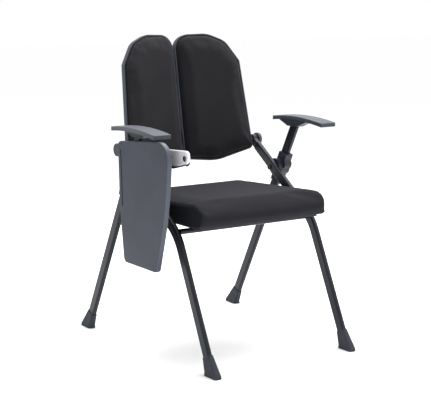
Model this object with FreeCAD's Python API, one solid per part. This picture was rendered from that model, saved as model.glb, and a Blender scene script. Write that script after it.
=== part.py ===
import FreeCAD
import Part
import math
import os

# Student desk chair with a folding scissor frame, a split backrest, arms and a writing tablet.
# Millimetres. +X is the sitter's left, the sitter faces -Y, +Z is up, and the floor is z = 0.
# The origin is on the floor, midway between the sides. "right" and "left" are the sitter's.

V = FreeCAD.Vector
ACROSS = V(1, 0, 0)
REARWARD = V(0, 1, 0)
UPWARD = V(0, 0, 1)
SIDES = (("right", -1), ("left", 1))

# --- driving dimensions: tubes of the scissor frame ---
TUBE_DEEP = 30.0
TUBE_THIN = 15.0
TUBE_CORNER = 5.0
TUBE_WALL = 1.5
FRONT_X = 236.0
REAR_X = 275.0
FRONT_FOOT_Y = -322.0
FOOT_BASE_Y = 322.0
KNEE_Y = -148.0
KNEE_Z = 362.0
UPRIGHT_END_Y = 130.0
UPRIGHT_END_Z = 555.0
KNEE_RADIUS = 150.0
REAR_FOOT_Y = 319.0
REAR_SLOPE = 0.527
POST_TOP_Z = 630.0
TUBE_START = 10.0

FRONT_BAR_Y = -146.0
FRONT_BAR_Z = 372.0
FRONT_BAR_RADIUS = 8.0
REAR_BAR_Z = 362.0
REAR_BAR_RADIUS = 10.0

# --- the crossing of the two frames ---
CROSS_Y = 54.0
CROSS_Z = 495.0
CROSS_BOLT_RADIUS = 5.0
CROSS_BUSH_RADIUS = 7.0
RUNNING_CLEARANCE = 0.05
BODY_GAP = 0.3
KNUCKLE_RADIUS = 26.0
KNUCKLE_INNER_X = 245.3
KNUCKLE_OUTER_X = 288.0
NUT_POCKET = 4.4

# --- feet ---
FOOT_LENGTH = 60.0
FOOT_WIDTH = 25.0
FOOT_RIM_LENGTH = 34.0
FOOT_RIM_WIDTH = 19.0
FOOT_HEIGHT = 58.0
FOOT_TOE = 7.0

# --- backrest, in its own upright frame: u across, v back, w up, origin on the tilt axis ---
HINGE_Y = 155.0
HINGE_Z = 572.0
BACK_LEAN = 9.6
LOBE_OUTER_U = 225.5
LOBE_TOP_OUTER_U = 208.5
LOBE_INNER_U = 2.6
LOBE_OUTER_V = -12.0
LOBE_INNER_V = 42.0
LOBE_SAG = 6.0
SHELL_DEEP = 16.0
SHELL_WALL = 4.0
SHELL_BACK_WALL = 3.5
CUSHION_PROUD = 18.0
CUSHION_GAP = 1.5
YOKE_THICK = 3.5
YOKE_HEIGHT = 42.0
YOKE_END_HEIGHT = 13.0
YOKE_EAR_U = 246.25
YOKE_BEND_V = 31.0
YOKE_MIDDLE_V = 74.0
EAR_RADIUS = 16.0
MOUNT_PLACES = (45.0, 112.0)
PIN_RADIUS = 5.0
CAP_RADIUS = 19.5

# --- seat ---
SEAT_HALF_WIDTH = 224.0
SEAT_REAR_Y = 178.0
SEAT_FRONT_Y = -246.0
SEAT_REAR_TOP_Z = 441.0
SEAT_FRONT_TOP_Z = 457.0
PAN_BOTTOM_Z = 383.5
PAN_INSET = 18.0
PAN_THICK = 5.0
BOARD_THICK = 9.0
SADDLE_X = 150.0
SADDLE_WIDTH = 36.0

# --- arms ---
PAD_REAR_Y = 93.0
PAD_FRONT_Y = -156.0
PAD_REAR_TOP_Z = 650.0
PAD_FRONT_TOP_Z = 646.0
PAD_CROWN_Z = 657.5
PAD_THICK = 12.5
PAD_REAR_INNER_X = 266.0
PAD_FRONT_INNER_X = 260.5
PAD_OUTER_X = 317.0
PAD_REAR_OUTER_Y = 81.0
ARM_BRACKET_TOP = 120.0
ARM_BRACKET_BOTTOM = 46.0
ARM_BRACKET_WIDTH = 26.0
ARM_BRACKET_Z = 626.0

# --- writing tablet, stowed upright outside the right arm ---
TABLET_INNER_X = -292.0
TABLET_THICK = 16.0
STOP_SCREW_Z = 588.5
SPINDLE_TOP = 5.0
SPINDLE_AT = V(-256, -208, 585)
NOSE_Y = -227.0
NOSE_Z = 591.0
NOSE_RIM = 2.0
SPINDLE_AXIS = V(-1, 0, 1).normalize()
SPINDLE_RADIUS = 4.0
ARM_CASTING_INNER_X = -246.0
ARM_CASTING_OUTER_X = -262.0
CASTING_TIP_RADIUS = 18.5
FLANGE_AT = -12.0
FLANGE_THICK = 3.0


def export(name, shape):
    """Write one piece, or one group of like pieces, to its own file."""
    solids = shape.Solids
    for solid in solids:
        if not solid.isValid():
            print("INVALID", name)
    whole = solids[0] if len(solids) == 1 else Part.makeCompound(solids)
    whole.exportStep("parts/" + name + ".step")
    print(name, len(solids), "solid(s)", round(whole.Volume / 1000, 1), "cm3")


def unit(direction):
    """A copy of a vector at length one."""
    return V(direction).normalize()


def rod(start, direction, radius, length):
    """Solid cylinder from a point along a direction."""
    return Part.makeCylinder(radius, length, start, direction)


def ring(start, direction, outer, inner, length):
    """Tube or washer from a point along a direction."""
    return rod(start, direction, outer, length).cut(rod(start, direction, inner, length))


def box(low, high):
    """Solid box between two corners."""
    size = high - low
    return Part.makeBox(size.x, size.y, size.z, low)


def polygon_face(points):
    """Flat face with straight sides."""
    return Part.Face(Part.makePolygon(points + [points[0]]))


def rounded_corner_face(corners):
    """Flat face from (point, corner radius) pairs: each corner is cut back to an arc of that radius."""
    edges = []
    count = len(corners)
    arcs = []
    for i in range(count):
        before = corners[i - 1][0]
        here, radius = corners[i]
        after = corners[(i + 1) % count][0]
        into = unit(before - here)
        out = unit(after - here)
        half = into.getAngle(out) / 2
        back = radius / math.tan(half)
        middle = here + unit(into + out) * (radius / math.sin(half) - radius)
        arcs.append((here + into * back, middle, here + out * back))
    for i in range(count):
        start, middle, end = arcs[i]
        edges.append(Part.Arc(start, middle, end).toShape())
        edges.append(Part.LineSegment(end, arcs[(i + 1) % count][0]).toShape())
    return Part.Face(Part.Wire(edges))


def rounded_rectangle(centre, along, across, length, width, radius):
    """Closed wire of a rectangle with round corners, in the plane of two unit vectors."""
    edges = []
    u = length / 2 - radius
    v = width / 2 - radius
    quarters = ((u, v), (-u, v), (-u, -v), (u, -v))

    def on_corner(index, degrees):
        angle = math.radians(90 * index + degrees)
        cu, cv = quarters[index]
        reach = along * (cu + radius * math.cos(angle)) + across * (cv + radius * math.sin(angle))
        return centre + reach

    for index in range(4):
        edges.append(Part.Arc(on_corner(index, 0), on_corner(index, 45), on_corner(index, 90)).toShape())
        edges.append(Part.LineSegment(on_corner(index, 90), on_corner((index + 1) % 4, 0)).toShape())
    return Part.Wire(edges)


def section_sweep(points, bend_radius, grow):
    """Solid of the frame tube's section, grown on every side, along straight runs with one bend."""
    tangent = unit(points[1] - points[0])
    section = rounded_rectangle(points[0], tangent.cross(ACROSS), ACROSS,
                                TUBE_DEEP + 2 * grow, TUBE_THIN + 2 * grow, TUBE_CORNER + grow)
    if len(points) == 2:
        return Part.Face(section).extrude(points[1] - points[0])
    into = unit(points[0] - points[1])
    out = unit(points[2] - points[1])
    half = into.getAngle(out) / 2
    back = bend_radius / math.tan(half)
    middle = points[1] + unit(into + out) * (bend_radius / math.sin(half) - bend_radius)
    bend_start = points[1] + into * back
    bend_end = points[1] + out * back
    path = Part.Wire([Part.LineSegment(points[0], bend_start).toShape(),
                      Part.Arc(bend_start, middle, bend_end).toShape(),
                      Part.LineSegment(bend_end, points[2]).toShape()])
    return path.makePipeShell([section], True, False)


def rear_y(z):
    """Where the straight rear leg and arm post run, at a height."""
    return REAR_FOOT_Y - REAR_SLOPE * z


def turned(shape, y, z, degrees):
    """A copy turned about the lateral axis through (y, z): positive leans the top forward."""
    copy = shape.copy()
    copy.rotate(V(0, y, z), ACROSS, degrees)
    return copy


FRONT_DIRECTION = unit(V(0, KNEE_Y - FRONT_FOOT_Y, KNEE_Z))
REAR_DIRECTION = unit(V(0, -REAR_SLOPE, 1))
UPRIGHT_DIRECTION = unit(V(0, UPRIGHT_END_Y - KNEE_Y, UPRIGHT_END_Z - KNEE_Z))
REAR_LEAN = math.degrees(math.atan(REAR_SLOPE))


# ----------------------------------------------------------------- front frame

def front_leg_points(x, overrun):
    """Foot, knee and upright end of a front tube, lengthened at both ends by overrun."""
    foot = V(x, FRONT_FOOT_Y, 0) + FRONT_DIRECTION * (TUBE_START - overrun)
    knee = V(x, KNEE_Y, KNEE_Z)
    end = V(x, UPRIGHT_END_Y, UPRIGHT_END_Z) + UPRIGHT_DIRECTION * overrun
    return [foot, knee, end]


def front_leg(side):
    """Bent tube: front leg and back upright in one, drilled for the crossing bolt."""
    points = front_leg_points(side * FRONT_X, 0)
    tube = section_sweep(points, KNEE_RADIUS, 0).cut(section_sweep(points, KNEE_RADIUS, -TUBE_WALL))
    hole_start = V(side * FRONT_X - TUBE_THIN, CROSS_Y, CROSS_Z)
    bolt_hole = rod(hole_start, ACROSS, CROSS_BOLT_RADIUS, 2 * TUBE_THIN)
    return tube.cut(bolt_hole)


def front_crossbar():
    """Round tube welded between the flat inner faces of the front legs."""
    reach = FRONT_X - TUBE_THIN / 2
    return ring(V(-reach, FRONT_BAR_Y, FRONT_BAR_Z), ACROSS, FRONT_BAR_RADIUS,
                FRONT_BAR_RADIUS - TUBE_WALL, 2 * reach)


def rubber_foot(x, base_y, ground_y, direction, leg):
    """Flared rubber ferrule over the end of a leg, flat on the floor."""
    along_top = direction.cross(ACROSS)
    sections = [
        rounded_rectangle(V(x, base_y, 0), REARWARD, ACROSS, FOOT_LENGTH, FOOT_WIDTH, 8),
        rounded_rectangle(V(x, base_y, FOOT_TOE), REARWARD, ACROSS, FOOT_LENGTH - 2, FOOT_WIDTH - 1, 8),
        rounded_rectangle(V(x, ground_y, 0) + direction * FOOT_HEIGHT, along_top, ACROSS,
                          FOOT_RIM_LENGTH, FOOT_RIM_WIDTH, 7)]
    return Part.makeLoft(sections, True, True).cut(leg)


def back_hinge_eye(side):
    """Plate that plugs into the top of the upright and carries the backrest's tilt pin."""
    thick = TUBE_THIN - 2 * TUBE_WALL - 1
    end = V(0, UPRIGHT_END_Y, UPRIGHT_END_Z)
    spigot_half = TUBE_DEEP / 2 - TUBE_WALL - TUBE_CORNER + 1
    root = end - UPRIGHT_DIRECTION * 32
    normal = UPRIGHT_DIRECTION.cross(ACROSS)
    pin = V(0, HINGE_Y, HINGE_Z)
    neck = polygon_face([root - normal * spigot_half, root + normal * spigot_half,
                         pin + normal * EAR_RADIUS * 0.8, pin - normal * EAR_RADIUS * 0.8])
    plate = neck.extrude(ACROSS * thick).fuse(rod(pin, ACROSS, EAR_RADIUS, thick))
    plate = plate.cut(rod(pin, ACROSS, PIN_RADIUS, thick))
    plate.translate(V(side * FRONT_X - thick / 2, 0, 0))
    return plate.removeSplitter()


def mirrored_span(side, near, far):
    """The lower x and the length of a stretch between two distances from the middle, on one side."""
    return (near if side > 0 else -far), far - near


def lateral_rod(side, near, far, y, z, radius):
    """Cylinder across the chair between two distances from the middle."""
    low, length = mirrored_span(side, near, far)
    return rod(V(low, y, z), ACROSS, radius, length)


def lateral_ring(side, near, far, y, z, outer, inner):
    """Washer or sleeve across the chair between two distances from the middle."""
    return lateral_rod(side, near, far, y, z, outer).cut(lateral_rod(side, near, far, y, z, inner))


EYE_INNER_X = FRONT_X - (TUBE_THIN - 2 * TUBE_WALL - 1) / 2
EYE_OUTER_X = FRONT_X + (TUBE_THIN - 2 * TUBE_WALL - 1) / 2
EAR_INNER_X = YOKE_EAR_U - YOKE_THICK / 2
EAR_OUTER_X = YOKE_EAR_U + YOKE_THICK / 2
CAP_INNER_X = EAR_OUTER_X + BODY_GAP
CAP_OUTER_X = 259.0


def back_hinge_pin(side):
    """Shouldered pin through the eye and the yoke's ear, with a head inside and a washer between."""
    head = lateral_rod(side, EYE_INNER_X - 2.5, EYE_INNER_X, HINGE_Y, HINGE_Z, PIN_RADIUS + 2.5)
    shank = lateral_rod(side, EYE_INNER_X - 1, CAP_OUTER_X - 3.5, HINGE_Y, HINGE_Z, PIN_RADIUS)
    collar = lateral_rod(side, EYE_OUTER_X, EAR_INNER_X - BODY_GAP, HINGE_Y, HINGE_Z, PIN_RADIUS + 4)
    return head.fuse([shank, collar]).removeSplitter()


def tilt_bush(side):
    """Rubber torsion bush on the pin that springs the backrest upright, under the cap."""
    return lateral_ring(side, CAP_INNER_X, CAP_OUTER_X - 3, HINGE_Y, HINGE_Z, CAP_RADIUS - 3, PIN_RADIUS)


def hinge_cap(side):
    """Round plastic cup over the bush, with a raised ring on its outer face."""
    cup = lateral_rod(side, CAP_INNER_X, CAP_OUTER_X, HINGE_Y, HINGE_Z, CAP_RADIUS)
    rim = cup.Edges
    outer_rim = [e for e in rim if abs(abs(e.BoundBox.Center.x) - CAP_OUTER_X) < 0.1]
    cup = cup.makeFillet(2.0, outer_rim)
    cup = cup.cut(lateral_rod(side, CAP_INNER_X, CAP_OUTER_X - 3, HINGE_Y, HINGE_Z, CAP_RADIUS - 3))
    cup = cup.cut(lateral_rod(side, CAP_INNER_X, CAP_OUTER_X - 3.5, HINGE_Y, HINGE_Z, PIN_RADIUS))
    groove = lateral_ring(side, CAP_OUTER_X - 1.2, CAP_OUTER_X + 1, HINGE_Y, HINGE_Z, 13.5, 11.5)
    return cup.cut(groove)


def crossing_bolt(side):
    """Bolt on which the two frames turn: low head inside the front tube, shank through the knuckle."""
    inner = FRONT_X - TUBE_THIN / 2
    head = lateral_rod(side, inner - 3, inner, CROSS_Y, CROSS_Z, 8.0)
    socket = lateral_rod(side, inner - 4, inner - 0.5, CROSS_Y, CROSS_Z, 3.2)
    shank = lateral_rod(side, inner - 1, KNUCKLE_OUTER_X - 1.2, CROSS_Y, CROSS_Z, CROSS_BOLT_RADIUS)
    return head.fuse(shank).cut(socket).removeSplitter()


def crossing_washer(side):
    """Nylon washer between the front tube and the knuckle."""
    outer = FRONT_X + TUBE_THIN / 2
    return lateral_ring(side, outer, KNUCKLE_INNER_X - BODY_GAP, CROSS_Y, CROSS_Z, 14, CROSS_BOLT_RADIUS)


def crossing_nut(side):
    """Flanged lock nut in the knuckle's outer pocket."""
    seat_x = KNUCKLE_OUTER_X - NUT_POCKET + BODY_GAP
    flange = lateral_ring(side, seat_x, seat_x + 1, CROSS_Y, CROSS_Z, 9.5, CROSS_BOLT_RADIUS)
    low, length = mirrored_span(side, seat_x + 1, KNUCKLE_OUTER_X - 0.2)
    corner_angles = [math.radians(60 * k) for k in range(6)]
    hexagon = [V(low, CROSS_Y + 8 * math.cos(a), CROSS_Z + 8 * math.sin(a)) for a in corner_angles]
    body = polygon_face(hexagon).extrude(ACROSS * length)
    body = body.cut(lateral_rod(side, seat_x, KNUCKLE_OUTER_X - 1.2, CROSS_Y, CROSS_Z, CROSS_BOLT_RADIUS))
    return flange.fuse(body).removeSplitter()


# ------------------------------------------------------------------ rear frame

def rear_leg_core(side, grow, overrun):
    """Straight run of the rear tube from the foot to the arm."""
    x = side * REAR_X
    start = V(x, REAR_FOOT_Y, 0) + REAR_DIRECTION * (TUBE_START - overrun)
    end = V(x, rear_y(POST_TOP_Z), POST_TOP_Z) + REAR_DIRECTION * overrun
    return section_sweep([start, end], 0, grow)


def rear_leg(side):
    """Rear leg and arm post in one straight tube, drilled for the bush."""
    tube = rear_leg_core(side, 0, 0).cut(rear_leg_core(side, -TUBE_WALL, 1))
    hole = lateral_rod(side, REAR_X - TUBE_THIN, REAR_X + TUBE_THIN, CROSS_Y, CROSS_Z, CROSS_BUSH_RADIUS)
    return tube.cut(hole)


def rear_crossbar():
    """Round tube between the rear legs, on which the seat turns."""
    reach = REAR_X - TUBE_THIN / 2
    return ring(V(-reach, rear_y(REAR_BAR_Z), REAR_BAR_Z), ACROSS, REAR_BAR_RADIUS,
                REAR_BAR_RADIUS - TUBE_WALL, 2 * reach)


def crossing_bush(side):
    """Steel sleeve in the knuckle that the bolt turns in."""
    outer_x = KNUCKLE_OUTER_X - NUT_POCKET
    return lateral_ring(side, KNUCKLE_INNER_X, outer_x, CROSS_Y, CROSS_Z, CROSS_BUSH_RADIUS,
                        CROSS_BOLT_RADIUS + RUNNING_CLEARANCE)


def crossing_knuckle(side):
    """Moulded knuckle round the rear tube: disc on the bolt, sleeve up the post, bulge to the front."""
    disc = lateral_rod(side, KNUCKLE_INNER_X, KNUCKLE_OUTER_X, CROSS_Y, CROSS_Z, KNUCKLE_RADIUS)
    low, length = mirrored_span(side, REAR_X - 13, KNUCKLE_OUTER_X)
    sleeve_face = rounded_corner_face([
        (V(low, CROSS_Y - 18.5, CROSS_Z - 30), 6), (V(low, CROSS_Y + 18.5, CROSS_Z - 30), 6),
        (V(low, CROSS_Y + 18.5, CROSS_Z + 46), 3), (V(low, CROSS_Y - 18.5, CROSS_Z + 54), 3)])
    sleeve = turned(sleeve_face.extrude(ACROSS * length), CROSS_Y, CROSS_Z, REAR_LEAN)
    bulge_centre = V(0, CROSS_Y, CROSS_Z) + REAR_DIRECTION * 16 - REAR_DIRECTION.cross(ACROSS) * 11
    bulge = lateral_rod(side, REAR_X - 13, KNUCKLE_OUTER_X, bulge_centre.y, bulge_centre.z, 17)
    knuckle = disc.fuse([sleeve, bulge])
    for step in range(4):
        collar_low, collar_length = mirrored_span(side, REAR_X - 11.5, REAR_X + 11.5)
        bottom = CROSS_Z - 36 - 7 * step
        collar_high = collar_low + collar_length
        collar = box(V(collar_low, CROSS_Y - 18.5, bottom), V(collar_high, CROSS_Y + 18.5, bottom + 4))
        core = box(V(collar_low + 1.5, CROSS_Y - 17, bottom), V(collar_high - 1.5, CROSS_Y + 17, bottom + 7))
        for band in (collar, core):
            knuckle = knuckle.fuse(turned(band, CROSS_Y, CROSS_Z, REAR_LEAN))
    knuckle = knuckle.cut(rear_leg_core(side, 0, 5))
    bush_hole = lateral_rod(side, KNUCKLE_INNER_X, KNUCKLE_OUTER_X, CROSS_Y, CROSS_Z, CROSS_BUSH_RADIUS)
    knuckle = knuckle.cut(bush_hole)
    pocket = lateral_rod(side, KNUCKLE_OUTER_X - NUT_POCKET, KNUCKLE_OUTER_X, CROSS_Y, CROSS_Z, 10.5)
    return knuckle.cut(pocket).removeSplitter()


def pad_arc(x, drop):
    """Arched side line of the arm pad from rear to front, lowered by drop."""
    crown_y = (PAD_REAR_Y + PAD_FRONT_Y) / 2
    return Part.Arc(V(x, PAD_REAR_Y + 5, PAD_REAR_TOP_Z - drop), V(x, crown_y, PAD_CROWN_Z - drop),
                    V(x, PAD_FRONT_Y - 5, PAD_FRONT_TOP_Z - drop)).toShape()


def arm_pad(side):
    """Thin arched pad, wider at the front, with square-cut ends."""
    top = pad_arc(0, 0)
    bottom = pad_arc(0, PAD_THICK)
    ends = [Part.LineSegment(top.Vertexes[i].Point, bottom.Vertexes[i].Point).toShape() for i in (0, 1)]
    arch = Part.Face(Part.Wire(Part.__sortEdges__([top, ends[1], bottom, ends[0]])))
    arch = arch.extrude(ACROSS * 400)
    plan = rounded_corner_face([
        (V(PAD_REAR_INNER_X, PAD_REAR_Y, 600), 3), (V(PAD_FRONT_INNER_X, PAD_FRONT_Y, 600), 3),
        (V(PAD_OUTER_X, PAD_FRONT_Y, 600), 3), (V(PAD_OUTER_X, PAD_REAR_OUTER_Y, 600), 3)])
    pad = arch.common(plan.extrude(UPWARD * 100))
    pad = pad.makeFillet(1.8, [e for e in pad.Edges if e.Length > 40])
    return pad if side > 0 else pad.mirror(V(0, 0, 0), ACROSS)


def arm_bracket(side):
    """Trapezoid moulding that spreads the post's top to the underside of the pad."""
    middle_y = rear_y(ARM_BRACKET_Z + 4)
    low, length = mirrored_span(side, REAR_X - ARM_BRACKET_WIDTH / 2, REAR_X + ARM_BRACKET_WIDTH / 2)
    top_z = PAD_CROWN_Z
    half_top = ARM_BRACKET_TOP / 2 + 6
    corners = [V(low, middle_y - ARM_BRACKET_BOTTOM / 2, ARM_BRACKET_Z),
               V(low, middle_y + ARM_BRACKET_BOTTOM / 2, ARM_BRACKET_Z),
               V(low, middle_y + half_top, 643), V(low, middle_y + half_top, top_z),
               V(low, middle_y - half_top, top_z), V(low, middle_y - half_top, 643)]
    block = polygon_face(corners).extrude(ACROSS * length)
    under = pad_arc(low, PAD_THICK)
    lift = V(0, 0, 60)
    ends = [vertex.Point for vertex in under.Vertexes]
    over = [Part.LineSegment(end, end + lift).toShape() for end in ends]
    lid = Part.LineSegment(ends[0] + lift, ends[1] + lift).toShape()
    above = Part.Face(Part.Wire(Part.__sortEdges__([under, over[1], lid, over[0]])))
    block = block.cut(above.extrude(ACROSS * length))
    return block.cut(rear_leg_core(side, 0, 0)).removeSplitter()


def arm_pad_screws():
    """Two countersunk screws up through each arm bracket into the pad."""
    screws = []
    for _, side in SIDES:
        for y in (rear_y(ARM_BRACKET_Z) - 38, rear_y(ARM_BRACKET_Z) + 40):
            start = V(side * REAR_X, y, 636)
            screws.append(rod(start, UPWARD, 2.5, 13).fuse(rod(start - UPWARD * 2, UPWARD, 5, 2)))
    return screws


def arm_post_screws():
    """One screw through the rear of each arm bracket into the post."""
    screws = []
    back = REAR_DIRECTION.cross(ACROSS)
    for _, side in SIDES:
        at = V(side * REAR_X, rear_y(634), 634) + back * (TUBE_DEEP / 2 - 4)
        screws.append(rod(at, back, 2.5, 13).fuse(rod(at + back * 13, back, 4.5, 2.5)))
    return screws


def casting_profile(x):
    """Side outline of the tablet's arm: deep at the post, tapering forward to a round tip."""
    tip = V(x, NOSE_Y, NOSE_Z)
    top_rear = V(x, 16, 596)
    bottom_rear = V(x, 22, 556)
    bottom_break = V(x, -151, 553)
    tip_top = tip + V(0, 3, CASTING_TIP_RADIUS)
    tip_front = tip + V(0, -CASTING_TIP_RADIUS, 2)
    tip_bottom = tip + V(0, 5, -CASTING_TIP_RADIUS + 0.6)
    edges = [Part.LineSegment(top_rear, tip_top).toShape(),
             Part.Arc(tip_top, tip_front, tip_bottom).toShape(),
             Part.LineSegment(tip_bottom, bottom_break).toShape(),
             Part.LineSegment(bottom_break, bottom_rear).toShape(),
             Part.LineSegment(bottom_rear, top_rear).toShape()]
    return Part.Face(Part.Wire(edges))


def spindle_rod(low, high, radius):
    """Cylinder on the spindle's inclined axis between two distances from its centre."""
    return rod(SPINDLE_AT + SPINDLE_AXIS * low, SPINDLE_AXIS, radius, high - low)


def round_nose(arm):
    """Dome the front of the casting: a short round rim, then a cone that draws in towards the sitter."""
    centre = V(ARM_CASTING_OUTER_X, NOSE_Y, NOSE_Z)
    front = box(V(-300, -300, 500), V(-200, NOSE_Y, 700))
    rim = rod(centre - ACROSS, ACROSS, CASTING_TIP_RADIUS, NOSE_RIM + 1)
    dome = Part.makeCone(CASTING_TIP_RADIUS, 5, 12, centre + ACROSS * NOSE_RIM, ACROSS)
    return arm.cut(front).fuse(arm.common(front).common(rim.fuse(dome))).removeSplitter()


def tablet_arm():
    """Die-cast arm from the right post to the spindle, bevelled underneath so that the bracket swings."""
    width = ARM_CASTING_INNER_X - ARM_CASTING_OUTER_X
    arm = casting_profile(ARM_CASTING_OUTER_X).extrude(ACROSS * width)
    outer_edges = [e for e in arm.Edges if abs(e.BoundBox.XMax - ARM_CASTING_OUTER_X) < 0.1]
    arm = arm.makeFillet(3.5, outer_edges)
    inner_edges = [e for e in arm.Edges if abs(e.BoundBox.XMin - ARM_CASTING_INNER_X) < 0.1]
    arm = arm.makeFillet(12.0, inner_edges)
    clamp = box(V(-288, rear_y(584) - 25, 552), V(ARM_CASTING_INNER_X, rear_y(584) + 25, 600))
    clamp = turned(clamp, rear_y(584), 584, REAR_LEAN)
    arm = arm.fuse(clamp).cut(rear_leg_core(-1, 0, 40))
    under = box(V(-200, -130, FLANGE_AT - 120), V(200, 149, FLANGE_AT))
    under.rotate(V(0, 0, 0), REARWARD, -45)
    under.translate(SPINDLE_AT)
    arm = arm.cut(under)
    arm = round_nose(arm)
    arm = arm.cut(spindle_rod(-60, SPINDLE_TOP, SPINDLE_RADIUS))
    arm = arm.cut(rod(V(ARM_CASTING_OUTER_X, NOSE_Y, STOP_SCREW_Z), ACROSS, 8.2, 1.2))
    return arm.cut(tablet_stop_screw()).removeSplitter()


def tablet_stop_screw():
    """Socket-head screw in the outer face of the casting's nose, with a shallow seat round its head."""
    seat = V(ARM_CASTING_OUTER_X + 1.2, NOSE_Y, STOP_SCREW_Z)
    screw = rod(seat, ACROSS, 2.5, 6).fuse(rod(seat - ACROSS * 4, ACROSS, 7.0, 4))
    return screw.cut(rod(seat - ACROSS * 5, ACROSS, 3.0, 3.5))


def tablet_arm_screws():
    """Two screws that close the casting's clamp on the post."""
    screws = []
    for z in (565, 588):
        y = rear_y(z)
        screws.append(rod(V(-289.5, y, z), ACROSS, 2.5, 36).fuse(rod(V(-289.5, y, z), ACROSS, 5, 1.5)))
    return screws


# ---------------------------------------------------------------------- tablet

def tablet_outline(x):
    """Side outline of the board: big round front top corner, edges that draw in towards the bottom."""
    return rounded_corner_face([
        (V(x, 59, 612), 15), (V(x, -217, 634), 48), (V(x, -199, 438), 900),
        (V(x, -148, 264), 14), (V(x, 31, 264), 16), (V(x, 53, 429), 900)])


def tablet_board():
    """Moulded board with rounded rims and a pen groove along its rear edge."""
    outer_x = TABLET_INNER_X - TABLET_THICK
    board = tablet_outline(outer_x).extrude(ACROSS * TABLET_THICK)
    rims = [e for e in board.Edges if e.BoundBox.XLength < 0.1]
    board = board.makeFillet(3.0, rims)
    groove_low = V(0, 34.5, 427)
    groove_high = V(0, 42, 590)
    direction = unit(groove_high - groove_low)
    length = (groove_high - groove_low).Length
    middle = (groove_low + groove_high) * 0.5 + V(outer_x - 1, 0, 0)
    slot = rounded_rectangle(middle, direction, unit(direction.cross(ACROSS)), length, 6, 2.9)
    return board.cut(Part.Face(slot).extrude(ACROSS * 4.5))


def tablet_bracket():
    """Pressed steel plate: a leaf screwed to the board and an inclined flange round the spindle."""
    upward_in = V(1, 0, 1).normalize()
    top = FLANGE_AT - BODY_GAP
    centre = SPINDLE_AT + SPINDLE_AXIS * (top - FLANGE_THICK)
    board_face = TABLET_INNER_X - SPINDLE_AT.x
    reach = (board_face + board_face + top * math.sqrt(2)) / math.sqrt(2)
    corners = [(9, -6), (-5, -10), (-14, 3), (-27, 36), (-27, 68), (reach - 2, 81), (reach - 2, 133),
               (reach + 14, 133), (13, 93)]
    points = [centre + upward_in * b + REARWARD * y for b, y in corners]
    plate = polygon_face(points).extrude(SPINDLE_AXIS * FLANGE_THICK)
    plate = plate.fuse(rod(centre, SPINDLE_AXIS, 11, FLANGE_THICK))
    bend_z = SPINDLE_AT.z + board_face + top * math.sqrt(2)
    leaf_x = TABLET_INNER_X + FLANGE_THICK
    leaf = box(V(TABLET_INNER_X, SPINDLE_AT.y + 81, bend_z - 68), V(leaf_x, SPINDLE_AT.y + 133, bend_z + 1))
    outside = box(V(TABLET_INNER_X - 60, -400, 300), V(TABLET_INNER_X, 100, 700))
    bracket = plate.cut(outside).fuse(leaf)
    return bracket.cut(spindle_rod(-40, 0, SPINDLE_RADIUS + RUNNING_CLEARANCE)).removeSplitter()


TABLET_SCREWS = ((-116, 514), (-87, 514), (-101, 474))


def tablet_screws():
    """Pan-head screws through the bracket's leaf into the board."""
    start_x = TABLET_INNER_X - 11
    leaf_x = TABLET_INNER_X + FLANGE_THICK
    screws = []
    for y, z in TABLET_SCREWS:
        shank = rod(V(start_x, y, z), ACROSS, 2, leaf_x - start_x)
        screws.append(shank.fuse(rod(V(leaf_x, y, z), ACROSS, 4, 2)))
    return screws


def tablet_spindle():
    """Stud pressed into the casting from below, on which the bracket's flange turns."""
    foot = FLANGE_AT - BODY_GAP - FLANGE_THICK - 9
    return spindle_rod(foot, SPINDLE_TOP, SPINDLE_RADIUS)


def spindle_nut():
    """Friction nut and its spring washer, under the flange."""
    top = FLANGE_AT - 2 * BODY_GAP - FLANGE_THICK
    nut = spindle_rod(top - 7, top - 1.5, 7.5).fuse(spindle_rod(top - 1.5, top, 9.5))
    return nut.cut(spindle_rod(top - 8, top, SPINDLE_RADIUS)).removeSplitter()


# -------------------------------------------------------------------- backrest

def to_chair(shape):
    """Carry a backrest piece from its own upright frame to its place, leaning back."""
    placed = shape.copy()
    placed.rotate(V(0, 0, 0), ACROSS, -BACK_LEAN)
    placed.translate(V(0, HINGE_Y, HINGE_Z))
    return placed


def lobe_slab(front, back):
    """Tall curved slab of one lobe between two depths behind its rim, concave towards the sitter."""
    low_w = -80
    outer = V(LOBE_OUTER_U + 20, LOBE_OUTER_V - 5, low_w)
    inner = V(LOBE_INNER_U - 8, LOBE_INNER_V + 2, low_w)
    middle = (outer + inner) * 0.5 + V(0, LOBE_SAG, 0)
    edges = []
    for shift in (front, back):
        push = V(0, shift, 0)
        edges.append(Part.Arc(outer + push, middle + push, inner + push).toShape())
    for end in (outer, inner):
        edges.append(Part.LineSegment(end + V(0, front, 0), end + V(0, back, 0)).toShape())
    plan = Part.Face(Part.Wire(Part.__sortEdges__(edges)))
    return plan.extrude(UPWARD * 460)


def lobe_outline(inset):
    """Front outline of the left lobe, inset all round: chamfered outer shoulder, rounded bottom."""
    v = -120
    corners = [(V(LOBE_INNER_U, v, -44), 14), (V(108, v, -57), 120), (V(LOBE_OUTER_U + 1, v, -26), 15),
               (V(LOBE_TOP_OUTER_U, v, 250), 14), (V(168, v, 315), 60), (V(112, v, 341), 90),
               (V(LOBE_INNER_U, v, 341), 47)]
    face = rounded_corner_face(corners)
    return face.makeOffset2D(-inset) if inset else face


def lobe_solid(inset, front, back):
    """Curved slab trimmed to the lobe's outline."""
    return lobe_slab(front, back).common(lobe_outline(inset).extrude(REARWARD * 300))


def on_side(side, left_shape):
    """A left-hand piece, or its mirror image on the right."""
    return left_shape if side > 0 else left_shape.mirror(V(0, 0, 0), ACROSS)


def back_shell_upright():
    """Moulded tray behind one cushion: a rim all round and a thin back wall."""
    tray = lobe_solid(0, 0, SHELL_DEEP)
    pocket = lobe_solid(SHELL_WALL, -5, SHELL_DEEP - SHELL_BACK_WALL)
    return tray.cut(pocket)


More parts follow.
